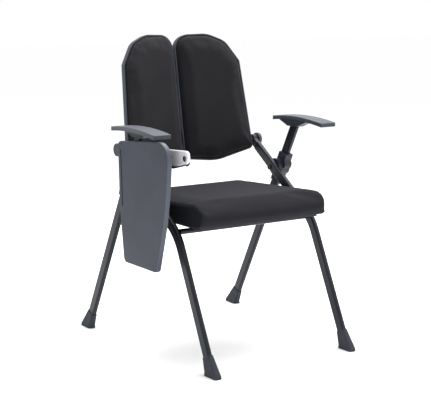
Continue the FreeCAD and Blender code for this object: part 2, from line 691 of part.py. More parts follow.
def back_cushion_upright():
    """Plain solid of the padded cushion that fills the tray and stands proud of its rim."""
    inset = SHELL_WALL + CUSHION_GAP
    return lobe_solid(inset, -CUSHION_PROUD, SHELL_DEEP - SHELL_BACK_WALL)


def back_yoke_upright():
    """Flat steel bar behind both lobes, with ends bent forward into ears on the tilt axis."""
    half = YOKE_THICK / 2
    bend = 14.0
    front_v = 6.0
    slope = math.atan2(YOKE_MIDDLE_V - YOKE_BEND_V, YOKE_EAR_U)
    rise = half / math.cos(slope)
    front_corner = V(YOKE_EAR_U - half, YOKE_BEND_V - rise + math.tan(slope) * half, 0)
    back_corner = V(YOKE_EAR_U + half, YOKE_BEND_V + rise - math.tan(slope) * half, 0)
    front_middle = V(0, YOKE_MIDDLE_V - rise, 0)
    back_middle = V(0, YOKE_MIDDLE_V + rise, 0)
    outline = rounded_corner_face([
        (V(YOKE_EAR_U - half, front_v, 0), 0.01), (front_corner, bend - half), (front_middle, 0.01),
        (back_middle, 0.01), (back_corner, bend + half), (V(YOKE_EAR_U + half, front_v, 0), 0.01)])
    left_bar = outline.extrude(UPWARD * YOKE_HEIGHT)
    ear_face = rounded_corner_face([
        (V(YOKE_EAR_U - half, -EAR_RADIUS, -EAR_RADIUS), EAR_RADIUS - 0.1),
        (V(YOKE_EAR_U - half, YOKE_BEND_V - 9, -EAR_RADIUS), 10),
        (V(YOKE_EAR_U - half, YOKE_BEND_V - 9, YOKE_END_HEIGHT), 2),
        (V(YOKE_EAR_U - half, 4, YOKE_END_HEIGHT + 3), 6),
        (V(YOKE_EAR_U - half, -EAR_RADIUS, EAR_RADIUS), EAR_RADIUS - 0.1)])
    ear = ear_face.extrude(ACROSS * YOKE_THICK)
    ear = ear.cut(rod(V(YOKE_EAR_U - 10, 0, 0), ACROSS, PIN_RADIUS + RUNNING_CLEARANCE, 20))
    left = left_bar.fuse(ear)
    yoke = left.fuse(left.mirror(V(0, 0, 0), ACROSS)).removeSplitter()
    for _, side in SIDES:
        shoulder = polygon_face([V(side * 262, -40, YOKE_END_HEIGHT + 3), V(side * 262, -40, 60),
                                 V(side * 130, -40, 60), V(side * 130, -40, YOKE_HEIGHT),
                                 V(side * 165, -40, YOKE_END_HEIGHT + 3)])
        yoke = yoke.cut(shoulder.extrude(REARWARD * 160))
        for u in MOUNT_PLACES:
            yoke = yoke.cut(rod(V(side * u, -50, YOKE_HEIGHT / 2), REARWARD, 3, 200))
    return yoke


def lobe_mount_rods(radius, low_v, high_v):
    """Cylinders through the four places where the lobes are fixed to the yoke."""
    return [rod(V(side * u, low_v, YOKE_HEIGHT / 2), REARWARD, radius, high_v - low_v)
            for _, side in SIDES for u in MOUNT_PLACES]


def lobe_mounts(shells, yoke):
    """Rubber blocks between the shells and the yoke, cut to fit both."""
    mounts = []
    for block in lobe_mount_rods(9, 0, 90):
        block = block.cut(Part.makeCompound(lobe_mount_rods(3, -50, 200)))
        for solid in shells + [yoke]:
            block = block.cut(solid)
        standing = sorted(block.Solids, key=lambda piece: piece.BoundBox.Center.y)
        mounts.append(standing[-2])
    return mounts


def lobe_screws(yoke):
    """Screws through the yoke into the rubber blocks, with pan heads behind the yoke."""
    screws = []
    for _, side in SIDES:
        for u in MOUNT_PLACES:
            line = rod(V(side * u, -50, YOKE_HEIGHT / 2), REARWARD, 2.5, 200)
            back_v = yoke.common(rod(V(side * u, -50, YOKE_HEIGHT / 2), REARWARD, 4.5, 200)).BoundBox.YMax
            shank = line.common(box(V(-400, back_v - 12, -50), V(400, back_v, 80)))
            head = rod(V(side * u, back_v, YOKE_HEIGHT / 2), REARWARD, 5.5, 3)
            screws.append(shank.fuse(head).removeSplitter())
    return screws


# ------------------------------------------------------------------------ seat

REAR_BAR_Y = rear_y(REAR_BAR_Z)
PAN_TOP_Z = PAN_BOTTOM_Z + PAN_THICK


def seat_plan(inset, low_z, high_z):
    """Prism of the seat's plan shape, with rounder corners at the front."""
    half = SEAT_HALF_WIDTH - inset
    front = SEAT_FRONT_Y + inset
    rear = SEAT_REAR_Y - inset
    plan = rounded_corner_face([
        (V(-half, front, low_z), 26), (V(half, front, low_z), 26),
        (V(half, rear, low_z), 14), (V(-half, rear, low_z), 14)])
    return plan.extrude(UPWARD * (high_z - low_z))


def seat_side_face(x):
    """Side profile of the cushion: nearly flat top, big rounded front that tucks under."""
    rear_low = V(x, SEAT_REAR_Y - 8, PAN_TOP_Z)
    rear_high = V(x, SEAT_REAR_Y, SEAT_REAR_TOP_Z - 12)
    rear_round = V(x, SEAT_REAR_Y - 3.5, SEAT_REAR_TOP_Z - 3)
    rear_top = V(x, SEAT_REAR_Y - 13, SEAT_REAR_TOP_Z)
    front_top = V(x, -182, SEAT_FRONT_TOP_Z)
    brow = V(x, -228, 447)
    nose = V(x, SEAT_FRONT_Y, 424)
    chin = V(x, SEAT_FRONT_Y + 7, 406)
    front_low = V(x, SEAT_FRONT_Y + 24, PAN_TOP_Z)
    edges = [
        Part.LineSegment(rear_low, rear_high).toShape(),
        Part.Arc(rear_high, rear_round, rear_top).toShape(),
        Part.LineSegment(rear_top, front_top).toShape(),
        Part.Arc(front_top, brow, nose).toShape(),
        Part.Arc(nose, chin, front_low).toShape(),
        Part.LineSegment(front_low, rear_low).toShape()]
    return Part.Face(Part.Wire(edges))


def seat_board():
    """Plywood board inside the cushion, on the pan."""
    return seat_plan(28, PAN_TOP_Z, PAN_TOP_Z + BOARD_THICK)


def seat_cushion():
    """Plain solid of the padded seat, hollowed below for the plywood board."""
    body = seat_side_face(-SEAT_HALF_WIDTH).extrude(ACROSS * 2 * SEAT_HALF_WIDTH)
    body = body.common(seat_plan(0, 300, 500))
    return body.cut(seat_board())


def seat_pan():
    """Thin moulded pan under the cushion with two stiffening ribs."""
    pan = seat_plan(PAN_INSET, PAN_BOTTOM_Z, PAN_TOP_Z)
    front_trim = box(V(-300, SEAT_FRONT_Y, 300), V(300, SEAT_FRONT_Y + 30, 500))
    pan = pan.cut(front_trim)
    for x in (-95, 95):
        pan = pan.fuse(box(V(x - 2, -120, PAN_BOTTOM_Z - 8), V(x + 2, 96, PAN_BOTTOM_Z)))
    return pan.removeSplitter()


def saddle_half(side, low_z, high_z):
    """Half of a plastic bearing block round the rear crossbar."""
    x = side * SADDLE_X
    half = SADDLE_WIDTH / 2
    block = box(V(x - half, REAR_BAR_Y - 23, low_z), V(x + half, REAR_BAR_Y + 23, high_z))
    uprights = [e for e in block.Edges if e.BoundBox.ZLength > 1]
    block = block.makeFillet(4, uprights)
    bore = rod(V(x - SADDLE_WIDTH, REAR_BAR_Y, REAR_BAR_Z), ACROSS, REAR_BAR_RADIUS + RUNNING_CLEARANCE,
               2 * SADDLE_WIDTH)
    screw_holes = [rod(V(x, REAR_BAR_Y + dy, 300), UPWARD, 2.5, 120) for dy in (-16.5, 16.5)]
    return block.cut([bore] + screw_holes)


def strap_screws():
    """Two screws up through each strap and saddle into the pan."""
    screws = []
    for _, side in SIDES:
        for dy in (-16.5, 16.5):
            foot = V(side * SADDLE_X, REAR_BAR_Y + dy, REAR_BAR_Z - 17)
            shank = rod(foot, UPWARD, 2.5, PAN_BOTTOM_Z - foot.z)
            screws.append(shank.fuse(rod(foot - UPWARD * 3, UPWARD, 4.5, 3)))
    return screws


def seat_buffers():
    """Two rubber pads under the pan that rest on the front crossbar."""
    top_of_bar = FRONT_BAR_Z + FRONT_BAR_RADIUS + BODY_GAP
    pads = []
    for _, side in SIDES:
        x = side * SADDLE_X
        pad = box(V(x - 18, FRONT_BAR_Y - 11, top_of_bar), V(x + 18, FRONT_BAR_Y + 11, PAN_BOTTOM_Z))
        pads.append(pad.makeFillet(3, [e for e in pad.Edges if e.BoundBox.ZLength > 1]))
    return pads


# -------------------------------------------------------------------- assembly

def side_pieces(name, side):
    """Pieces that the chair has once on each side."""
    front_core = section_sweep(front_leg_points(side * FRONT_X, 0), KNEE_RADIUS, 0)
    fixings = Part.makeCompound(arm_pad_screws() + arm_post_screws())
    export("front_leg_" + name, front_leg(side))
    export("front_foot_" + name, rubber_foot(side * FRONT_X, -FOOT_BASE_Y, FRONT_FOOT_Y, FRONT_DIRECTION,
                                             front_core))
    export("back_hinge_eye_" + name, back_hinge_eye(side))
    export("back_hinge_pin_" + name, back_hinge_pin(side))
    export("tilt_bush_" + name, tilt_bush(side))
    export("hinge_cap_" + name, hinge_cap(side))
    export("crossing_bolt_" + name, crossing_bolt(side))
    export("crossing_washer_" + name, crossing_washer(side))
    export("crossing_nut_" + name, crossing_nut(side))
    post_fixings = Part.makeCompound(arm_post_screws() + tablet_arm_screws())
    export("rear_leg_" + name, rear_leg(side).cut(post_fixings))
    rear_core = rear_leg_core(side, 0, 0)
    export("rear_foot_" + name, rubber_foot(side * REAR_X, FOOT_BASE_Y, REAR_FOOT_Y, REAR_DIRECTION,
                                            rear_core))
    export("crossing_bush_" + name, crossing_bush(side))
    export("crossing_knuckle_" + name, crossing_knuckle(side))
    export("arm_pad_" + name, arm_pad(side).cut(fixings))
    export("arm_bracket_" + name, arm_bracket(side).cut(fixings))
    export("seat_saddle_" + name, saddle_half(side, REAR_BAR_Z, PAN_BOTTOM_Z))
    export("saddle_strap_" + name, saddle_half(side, REAR_BAR_Z - 17, REAR_BAR_Z))


def backrest_pieces():
    """The two lobes and the yoke that carries them."""
    shell = back_shell_upright()
    cushion = back_cushion_upright()
    yoke = back_yoke_upright()
    for name, side in SIDES:
        export("back_shell_" + name, to_chair(on_side(side, shell)))
        export("back_cushion_" + name, to_chair(on_side(side, cushion)))
    export("back_yoke", to_chair(yoke))
    shells = [on_side(side, shell) for _, side in SIDES]
    export("lobe_mounts", to_chair(Part.makeCompound(lobe_mounts(shells, yoke))))
    export("lobe_screws", to_chair(Part.makeCompound(lobe_screws(yoke))))


def seat_pieces():
    """The seat with its board, pan and fittings."""
    export("seat_cushion", seat_cushion())
    export("seat_board", seat_board())
    export("seat_pan", seat_pan())
    export("strap_screws", Part.makeCompound(strap_screws()))
    export("seat_buffers", Part.makeCompound(seat_buffers()))


def tablet_pieces():
    """The writing tablet, its bracket, its spindle and the arm that carries it."""
    board_screws = Part.makeCompound(tablet_screws())
    export("tablet_arm", tablet_arm().cut(Part.makeCompound(tablet_arm_screws())))
    export("tablet_arm_screws", Part.makeCompound(tablet_arm_screws()))
    export("tablet_board", tablet_board().cut(board_screws))
    export("tablet_bracket", tablet_bracket().cut(board_screws))
    export("tablet_screws", board_screws)
    export("tablet_stop_screw", tablet_stop_screw())
    export("tablet_spindle", tablet_spindle())
    export("spindle_nut", spindle_nut())


os.makedirs("parts", exist_ok=True)
for side_name, side_sign in SIDES:
    side_pieces(side_name, side_sign)
export("front_crossbar", front_crossbar())
export("rear_crossbar", rear_crossbar())
export("arm_pad_screws", Part.makeCompound(arm_pad_screws()))
export("arm_post_screws", Part.makeCompound(arm_post_screws()))
backrest_pieces()
seat_pieces()
tablet_pieces()
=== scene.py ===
import math

import bpy
import numpy as np
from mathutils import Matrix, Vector
from mathutils.bvhtree import BVHTree


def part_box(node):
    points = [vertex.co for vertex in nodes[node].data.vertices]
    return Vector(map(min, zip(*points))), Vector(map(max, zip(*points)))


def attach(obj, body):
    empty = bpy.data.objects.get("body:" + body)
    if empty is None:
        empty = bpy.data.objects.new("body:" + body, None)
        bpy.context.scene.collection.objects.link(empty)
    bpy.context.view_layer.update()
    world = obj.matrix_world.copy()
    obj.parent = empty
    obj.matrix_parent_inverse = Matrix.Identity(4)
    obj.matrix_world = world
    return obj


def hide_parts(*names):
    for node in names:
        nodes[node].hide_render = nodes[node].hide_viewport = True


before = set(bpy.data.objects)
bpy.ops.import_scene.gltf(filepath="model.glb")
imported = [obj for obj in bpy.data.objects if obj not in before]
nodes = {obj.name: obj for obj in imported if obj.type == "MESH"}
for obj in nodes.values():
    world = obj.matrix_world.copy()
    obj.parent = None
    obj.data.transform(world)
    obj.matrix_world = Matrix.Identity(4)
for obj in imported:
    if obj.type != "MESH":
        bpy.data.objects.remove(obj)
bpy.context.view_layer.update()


# ---------------------------------------------------------------- camera, light and floor
# The chair stands on a pale studio floor, seen from its right front corner at about
# seat height, with a long lens. The light is a pale room and two large soft boxes.

camera_data = bpy.data.cameras.new("camera")
camera_data.lens = 100.24
camera_data.sensor_width = 36.0
camera_data.clip_end = 60.0
camera = bpy.data.objects.new("camera", camera_data)
bpy.context.scene.collection.objects.link(camera)
azimuth = math.radians(-33.87)
elevation = math.radians(9.62)
towards_camera = Vector((math.sin(azimuth) * math.cos(elevation),
                         -math.cos(azimuth) * math.cos(elevation),
                         math.sin(elevation)))
camera.location = Vector((-0.0083, 0.0038, 0.420)) + towards_camera * 3.5772
camera.rotation_euler = towards_camera.to_track_quat("Z", "Y").to_euler()
bpy.context.scene.camera = camera
bpy.context.scene.view_settings.view_transform = "Standard"


def linear(colour):
    """Linear RGBA from an sRGB hex string."""
    parts = [int(colour[i:i + 2], 16) / 255 for i in (1, 3, 5)]
    return [c / 12.92 if c <= 0.04045 else ((c + 0.055) / 1.055) ** 2.4 for c in parts] + [1.0]


def add_node(tree, kind, settings=(), **inputs):
    """One node with its settings and inputs; an input is a value, or an output socket to link from."""
    node = tree.nodes.new(kind)
    for key, value in dict(settings).items():
        setattr(node, key, value)
    for key, value in inputs.items():
        socket = node.inputs[int(key[1:])] if key[1:].isdigit() else node.inputs[key.replace("_", " ")]
        if isinstance(value, bpy.types.NodeSocket):
            tree.links.new(value, socket)
        else:
            socket.default_value = value
    return node


def soft_box(name, place, size, power):
    """A square studio light of this size that faces the seat."""
    data = bpy.data.lights.new(name, "AREA")
    data.shape = "SQUARE"
    data.size = size
    data.energy = power
    light = bpy.data.objects.new(name, data)
    bpy.context.scene.collection.objects.link(light)
    light.location = place
    light.rotation_euler = (Vector(place) - Vector((0, 0, 0.5))).to_track_quat("Z", "Y").to_euler()


soft_box("top_light", (0.7, 0.5, 3.0), 3.2, 130)
soft_box("left_light", (3.0, -1.2, 1.8), 1.6, 30)

room = bpy.data.worlds.new("room")
room.use_nodes = True
room.node_tree.nodes["Background"].inputs["Color"].default_value = linear("#ffffff")
room.node_tree.nodes["Background"].inputs["Strength"].default_value = 1.0
bpy.context.scene.world = room

bpy.ops.object.select_all(action="DESELECT")
bpy.ops.mesh.primitive_plane_add(size=40, location=(0, 0, -0.0008))
floor = bpy.context.object
floor.name = "studio_floor"
floor_paint = bpy.data.materials.new("matt_white_studio_floor")
floor_paint.use_nodes = True
floor_shader = floor_paint.node_tree.nodes["Principled BSDF"]
floor_shader.inputs["Base Color"].default_value = linear("#fefefe")
floor_shader.inputs["Roughness"].default_value = 0.9
floor_shader.inputs["Specular IOR Level"].default_value = 0.1
floor.data.materials.append(floor_paint)


# ---------------------------------------------------------------- legs and crossbars
# Flat-sided oval steel tube, 15 by 25 mm in the legs, bent and welded to round crossbars,
# then powder coated satin black and baked. The coat is thin and even over every weld.

def begin_finish(name):
    """A new material with its shader and the object coordinates in metres."""
    material = bpy.data.materials.new(name)
    material.use_nodes = True
    tree = material.node_tree
    shader = tree.nodes["Principled BSDF"]
    place = add_node(tree, "ShaderNodeTexCoord").outputs["Object"]
    return material, tree, shader, place


def powder_coat(name, low, high, roughness):
    """Baked polyester powder: a fine orange peel of about 2 mm, satin, with faint dull patches from handling."""
    material, tree, shader, place = begin_finish(name)
    patches = add_node(tree, "ShaderNodeTexNoise", (), Vector=place, Scale=1000.0 / 60, Detail=3.0).outputs["Fac"]
    peel = add_node(tree, "ShaderNodeTexNoise", (), Vector=place, Scale=1000.0 / 2.2, Detail=1.0).outputs["Fac"]
    share = add_node(tree, "ShaderNodeMapRange", (), Value=patches, From_Min=0.3, From_Max=0.7).outputs[0]
    colour = add_node(tree, "ShaderNodeMix", {"data_type": "RGBA"}, i0=share, i6=linear(low),
                      i7=linear(high)).outputs[2]
    dullness = add_node(tree, "ShaderNodeMapRange", (), Value=patches, To_Min=roughness - 0.05,
                        To_Max=roughness + 0.07).outputs[0]
    relief = add_node(tree, "ShaderNodeBump", (), Height=peel, Distance=0.05 / 1000.0,
                      Strength=0.5).outputs[0]
    tree.links.new(colour, shader.inputs["Base Color"])
    tree.links.new(dullness, shader.inputs["Roughness"])
    tree.links.new(relief, shader.inputs["Normal"])
    shader.inputs["IOR"].default_value = 1.5
    shader.inputs["Specular IOR Level"].default_value = 0.3
    return material


def finish_nodes(material, *names):
    """Give the whole of each named CAD node this material."""
    for name in names:
        node = nodes[name]
        if not node.material_slots:
            node.data.materials.append(material)
        for slot in node.material_slots:
            slot.material = material


frame_coat = powder_coat("satin_black_powder_coated_steel", "#0b0f18", "#121722", 0.36)
finish_nodes(frame_coat, "front_leg_right", "front_leg_left", "rear_leg_right", "rear_leg_left",
             "front_crossbar", "rear_crossbar")
finish_nodes(powder_coat("black_powder_coated_bar", "#0e1016", "#15181f", 0.42), "back_yoke")


# ---------------------------------------------------------------- rubber feet
# Four flared ferrules of moulded rubber pushed over the ends of the legs. The rubber is
# grey-black and dull, with a fine mould texture and a faint dusty mottle.

def moulded_rubber(name, low, high):
    """Sulphur-cured rubber: dull and slightly mottled, so it shows almost no highlight."""
    material, tree, shader, place = begin_finish(name)
    mottle = add_node(tree, "ShaderNodeTexNoise", (), Vector=place, Scale=1000.0 / 14, Detail=4.0).outputs["Fac"]
    pores = add_node(tree, "ShaderNodeTexNoise", (), Vector=place, Scale=1000.0 / 1.4, Detail=2.0).outputs["Fac"]
    share = add_node(tree, "ShaderNodeMapRange", (), Value=mottle, From_Min=0.3, From_Max=0.7).outputs[0]
    colour = add_node(tree, "ShaderNodeMix", {"data_type": "RGBA"}, i0=share, i6=linear(low),
                      i7=linear(high)).outputs[2]
    dullness = add_node(tree, "ShaderNodeMapRange", (), Value=pores, To_Min=0.68,
                        To_Max=0.84).outputs[0]
    relief = add_node(tree, "ShaderNodeBump", (), Height=pores, Distance=0.12 / 1000.0,
                      Strength=0.6).outputs[0]
    tree.links.new(colour, shader.inputs["Base Color"])
    tree.links.new(dullness, shader.inputs["Roughness"])
    tree.links.new(relief, shader.inputs["Normal"])
    shader.inputs["IOR"].default_value = 1.52
    shader.inputs["Specular IOR Level"].default_value = 0.35
    return material


finish_nodes(moulded_rubber("dusty_grey_black_rubber", "#22262d", "#30343c"),
             "front_foot_right", "front_foot_left", "rear_foot_right", "rear_foot_left")
finish_nodes(moulded_rubber("black_damper_rubber", "#18191b", "#232427"),
             "tilt_bush_right", "tilt_bush_left", "seat_buffers", "lobe_mounts")


# ---------------------------------------------------------------- knuckles, eyes, caps and clamps
# Injection mouldings in glass-filled polypropylene: the knuckle where the legs cross, the
# eye and round cap of the back hinge, and the clamps that hold the seat on its bar.

def textured_moulding(name, low, high, grit, depth, roughness):
    """Spark-eroded mould texture on plastic: an even leather-like grit, with worn, shinier patches."""
    material, tree, shader, place = begin_finish(name)
    wear = add_node(tree, "ShaderNodeTexNoise", (), Vector=place, Scale=1000.0 / 45, Detail=3.0).outputs["Fac"]
    cells = add_node(tree, "ShaderNodeTexVoronoi", {"feature": "SMOOTH_F1"}, Vector=place,
                     Scale=1000.0 / grit).outputs["Distance"]
    share = add_node(tree, "ShaderNodeMapRange", (), Value=wear, From_Min=0.3, From_Max=0.7).outputs[0]
    colour = add_node(tree, "ShaderNodeMix", {"data_type": "RGBA"}, i0=share, i6=linear(low),
                      i7=linear(high)).outputs[2]
    dullness = add_node(tree, "ShaderNodeMapRange", (), Value=wear, To_Min=roughness + 0.06,
                        To_Max=roughness - 0.06).outputs[0]
    relief = add_node(tree, "ShaderNodeBump", (), Height=cells, Distance=depth / 1000.0,
                      Strength=0.6).outputs[0]
    tree.links.new(colour, shader.inputs["Base Color"])
    tree.links.new(dullness, shader.inputs["Roughness"])
    tree.links.new(relief, shader.inputs["Normal"])
    shader.inputs["IOR"].default_value = 1.49
    shader.inputs["Specular IOR Level"].default_value = 0.35
    return material


finish_nodes(textured_moulding("dark_textured_polypropylene", "#1a1e27", "#252a34", 1.6, 0.10, 0.5),
             "crossing_knuckle_right", "crossing_knuckle_left", "back_hinge_eye_right", "back_hinge_eye_left",
             "seat_saddle_right", "seat_saddle_left", "saddle_strap_right", "saddle_strap_left", "seat_pan")
finish_nodes(textured_moulding("grey_textured_polypropylene", "#363a42", "#41454e", 1.6, 0.10, 0.5),
             "hinge_cap_right", "hinge_cap_left")


# ---------------------------------------------------------------- steel pins, screws and washers
# Turned and cold-headed hardware. Most of it is zinc plated and blue passivated; what shows
# on the outside is blackened. The washers at the crossing are natural nylon.

def plated_steel(name, low, high, roughness):
    """Zinc-plated steel: soft grey metal with a faint cloudy crystal pattern."""
    material, tree, shader, place = begin_finish(name)
    clouds = add_node(tree, "ShaderNodeTexNoise", (), Vector=place, Scale=1000.0 / 5, Detail=3.0).outputs["Fac"]
    turned = add_node(tree, "ShaderNodeTexNoise", (), Vector=place, Scale=1000.0 / 0.9, Detail=1.0).outputs["Fac"]
    share = add_node(tree, "ShaderNodeMapRange", (), Value=clouds, From_Min=0.3, From_Max=0.7).outputs[0]
    colour = add_node(tree, "ShaderNodeMix", {"data_type": "RGBA"}, i0=share, i6=linear(low),
                      i7=linear(high)).outputs[2]
    dullness = add_node(tree, "ShaderNodeMapRange", (), Value=clouds, To_Min=roughness - 0.06,
                        To_Max=roughness + 0.08).outputs[0]
    relief = add_node(tree, "ShaderNodeBump", (), Height=turned, Distance=0.03 / 1000.0,
                      Strength=0.4).outputs[0]
    tree.links.new(colour, shader.inputs["Base Color"])
    tree.links.new(dullness, shader.inputs["Roughness"])
    tree.links.new(relief, shader.inputs["Normal"])
    shader.inputs["Metallic"].default_value = 1.0
    return material


finish_nodes(plated_steel("zinc_plated_steel", "#8d8f92", "#b2b4b6", 0.34),
             "back_hinge_pin_right", "back_hinge_pin_left", "crossing_bush_right", "crossing_bush_left",
             "crossing_nut_right", "crossing_nut_left", "strap_screws", "tablet_spindle",
             "lobe_screws", "arm_pad_screws")
finish_nodes(plated_steel("polished_screw_steel", "#8f9196", "#a4a6ab", 0.22), "tablet_stop_screw")
finish_nodes(powder_coat("blackened_steel", "#17181b", "#202125", 0.4),
             "crossing_bolt_right", "crossing_bolt_left", "tablet_bracket", "tablet_screws", "spindle_nut",
             "arm_post_screws", "tablet_arm_screws")

def plain_nylon():
    """Undyed nylon: ivory and faintly mottled, with a soft highlight."""
    material, tree, shader, place = begin_finish("natural_nylon")
    mottle = add_node(tree, "ShaderNodeTexNoise", (), Vector=place, Scale=1000.0 / 4, Detail=2.0).outputs["Fac"]
    share = add_node(tree, "ShaderNodeMapRange", (), Value=mottle, From_Min=0.3, From_Max=0.7).outputs[0]
    colour = add_node(tree, "ShaderNodeMix", {"data_type": "RGBA"}, i0=share, i6=linear("#c9c6bb"),
                      i7=linear("#dad8d0")).outputs[2]
    dullness = add_node(tree, "ShaderNodeMapRange", (), Value=mottle, To_Min=0.4,
                        To_Max=0.5).outputs[0]
    tree.links.new(colour, shader.inputs["Base Color"])
    tree.links.new(dullness, shader.inputs["Roughness"])
    shader.inputs["IOR"].default_value = 1.53
    return material


finish_nodes(plain_nylon(), "crossing_washer_right", "crossing_washer_left")


# ---------------------------------------------------------------- arm pads
# Thin arched pads of self-skinned polyurethane, wider at the front, on a moulded bracket
# that closes the top of each post. The skin is fine grained, and its top is painted paler as painted light from
# above.

def arm_skin(name, low, high, rubbed_and_painted_light):
    """Integral-skin polyurethane: a fine leather grain of about 1.2 mm, and a paler top that is painted light."""
    material, tree, shader, place = begin_finish(name)
    wear = add_node(tree, "ShaderNodeTexNoise", (), Vector=place, Scale=1000.0 / 70, Detail=4.0).outputs["Fac"]
    cells = add_node(tree, "ShaderNodeTexVoronoi", {"feature": "DISTANCE_TO_EDGE"}, Vector=place,
                     Scale=1000.0 / 1.8).outputs["Distance"]
    height = add_node(tree, "ShaderNodeSeparateXYZ", (), Vector=place).outputs["Z"]
    # The top of each pad is painted a paler grey: a painted highlight where light falls from above.
    top = add_node(tree, "ShaderNodeMapRange", {"interpolation_type": "SMOOTHSTEP"}, Value=height,
                   From_Min=0.640, From_Max=0.656).outputs["Result"]
    share = add_node(tree, "ShaderNodeMapRange", (), Value=wear, From_Min=0.3, From_Max=0.7).outputs[0]
    colour = add_node(tree, "ShaderNodeMix", {"data_type": "RGBA"}, i0=share, i6=linear(low),
                      i7=linear(high)).outputs[2]
    colour = add_node(tree, "ShaderNodeMix", {"data_type": "RGBA"}, i0=top, i6=colour,
                      i7=linear(rubbed_and_painted_light)).outputs[2]
    dullness = add_node(tree, "ShaderNodeMapRange", (), Value=wear, To_Min=0.42,
                        To_Max=0.56).outputs[0]
    relief = add_node(tree, "ShaderNodeBump", (), Height=cells, Distance=0.1 / 1000.0,
                      Strength=0.35).outputs[0]
    tree.links.new(colour, shader.inputs["Base Color"])
    tree.links.new(dullness, shader.inputs["Roughness"])
    tree.links.new(relief, shader.inputs["Normal"])
    shader.inputs["IOR"].default_value = 1.5
    return material


# The third colour is the painted highlight on the tops of the pads.
finish_nodes(arm_skin("grey_self_skinned_polyurethane", "#262b34", "#2e343e", "#454952"),
             "arm_pad_right", "arm_pad_left")
finish_nodes(textured_moulding("arm_bracket_polypropylene", "#22262e", "#2e323b", 1.6, 0.10, 0.52),
             "arm_bracket_right", "arm_bracket_left")


# ---------------------------------------------------------------- writing tablet
# One moulded ABS board about 17 mm thick, slate grey with a spark-eroded texture, smooth on
# its rounded rim. It hangs at the sitter's right from a bright die-cast arm.

def tablet_abs():
    """Textured ABS: matt face, with the rounded rim left smoother by the mould and painted a lighter grey as a
    painted highlight, so it catches the light.
    """
    material, tree, shader, place = begin_finish("slate_textured_abs")
    wear = add_node(tree, "ShaderNodeTexNoise", (), Vector=place, Scale=1000.0 / 90, Detail=4.0).outputs["Fac"]
    drawn_out = add_node(tree, "ShaderNodeMapping", (), Vector=place, Scale=(30, 260, 30)).outputs[0]
    scuffs = add_node(tree, "ShaderNodeTexNoise", (), Vector=drawn_out, Scale=1.0, Detail=3.0).outputs["Fac"]
    cells = add_node(tree, "ShaderNodeTexVoronoi", {"feature": "SMOOTH_F1"}, Vector=place,
                     Scale=1000.0 / 1.5).outputs["Distance"]
    facing = add_node(tree, "ShaderNodeTexCoord").outputs["Normal"]
    aside = add_node(tree, "ShaderNodeSeparateXYZ", (), Vector=facing).outputs["X"]
    aside = add_node(tree, "ShaderNodeMath", {"operation": "ABSOLUTE"}, i0=aside).outputs[0]
    rim = add_node(tree, "ShaderNodeMapRange", {"interpolation_type": "SMOOTHSTEP"}, Value=aside,
                   From_Min=0.97, From_Max=0.80).outputs["Result"]
    share = add_node(tree, "ShaderNodeMapRange", (), Value=wear, From_Min=0.3, From_Max=0.7).outputs[0]
    colour = add_node(tree, "ShaderNodeMix", {"data_type": "RGBA"}, i0=share, i6=linear("#262b37"),
                      i7=linear("#2c3240")).outputs[2]
    # The rim is mixed to a lighter grey: a painted highlight along the rounded edge, on top of its real smoothness.
    colour = add_node(tree, "ShaderNodeMix", {"data_type": "RGBA"}, i0=rim, i6=colour,
                      i7=linear("#4b505b")).outputs[2]
    rubbed_and_painted_light = add_node(tree, "ShaderNodeMath", {"operation": "MULTIPLY"}, i0=wear, i1=scuffs).outputs[0]
    face_dullness = add_node(tree, "ShaderNodeMapRange", (), Value=rubbed_and_painted_light, To_Min=0.5,
                             To_Max=0.38).outputs[0]
    dullness = add_node(tree, "ShaderNodeMath", {"operation": "MULTIPLY_ADD"}, i0=rim, i1=-0.16,
                        i2=face_dullness).outputs[0]
    relief = add_node(tree, "ShaderNodeBump", (), Height=cells, Distance=0.07 / 1000.0,
                      Strength=0.5).outputs[0]
    tree.links.new(colour, shader.inputs["Base Color"])
    tree.links.new(dullness, shader.inputs["Roughness"])
    tree.links.new(relief, shader.inputs["Normal"])
    shader.inputs["IOR"].default_value = 1.53
    shader.inputs["Specular IOR Level"].default_value = 0.28
    return material


finish_nodes(tablet_abs(), "tablet_board")


# ---------------------------------------------------------------- the tablet's cast arm
# A die-cast aluminium arm, shot blasted and clear lacquered, so it is a bright silver with
# very fine grain. It clamps on the right post and carries the tablet's turning stud.

def blasted_casting():
    """Die-cast aluminium, blasted and lacquered: near white, with faint flow marks and a soft broad highlight.
    The lacquer over the blasted skin scatters most of the light, so it is only partly metallic."""
    material, tree, shader, place = begin_finish("blasted_die_cast_aluminium")
    blasting = add_node(tree, "ShaderNodeTexNoise", (), Vector=place, Scale=1000.0 / 1.0, Detail=2.0).outputs["Fac"]
    flow = add_node(tree, "ShaderNodeTexNoise", (), Vector=place, Scale=1000.0 / 30, Detail=2.0).outputs["Fac"]
    share = add_node(tree, "ShaderNodeMapRange", (), Value=flow, From_Min=0.3, From_Max=0.7).outputs[0]
    colour = add_node(tree, "ShaderNodeMix", {"data_type": "RGBA"}, i0=share, i6=linear("#eeeef1"),
                      i7=linear("#f8f8fa")).outputs[2]
    dullness = add_node(tree, "ShaderNodeMapRange", (), Value=flow, To_Min=0.3,
                        To_Max=0.4).outputs[0]
    relief = add_node(tree, "ShaderNodeBump", (), Height=blasting, Distance=0.05 / 1000.0,
                      Strength=0.35).outputs[0]
    tree.links.new(colour, shader.inputs["Base Color"])
    tree.links.new(dullness, shader.inputs["Roughness"])
    tree.links.new(relief, shader.inputs["Normal"])
    shader.inputs["Metallic"].default_value = 0.25
    return material


finish_nodes(blasted_casting(), "tablet_arm")


# ---------------------------------------------------------------- seat cushion
# Cold-cure foam about 70 mm deep under black woven polyester. The top panel rolls over the
# front and is sewn to a flat boxing panel at each side; the cover is pulled down and stapled.

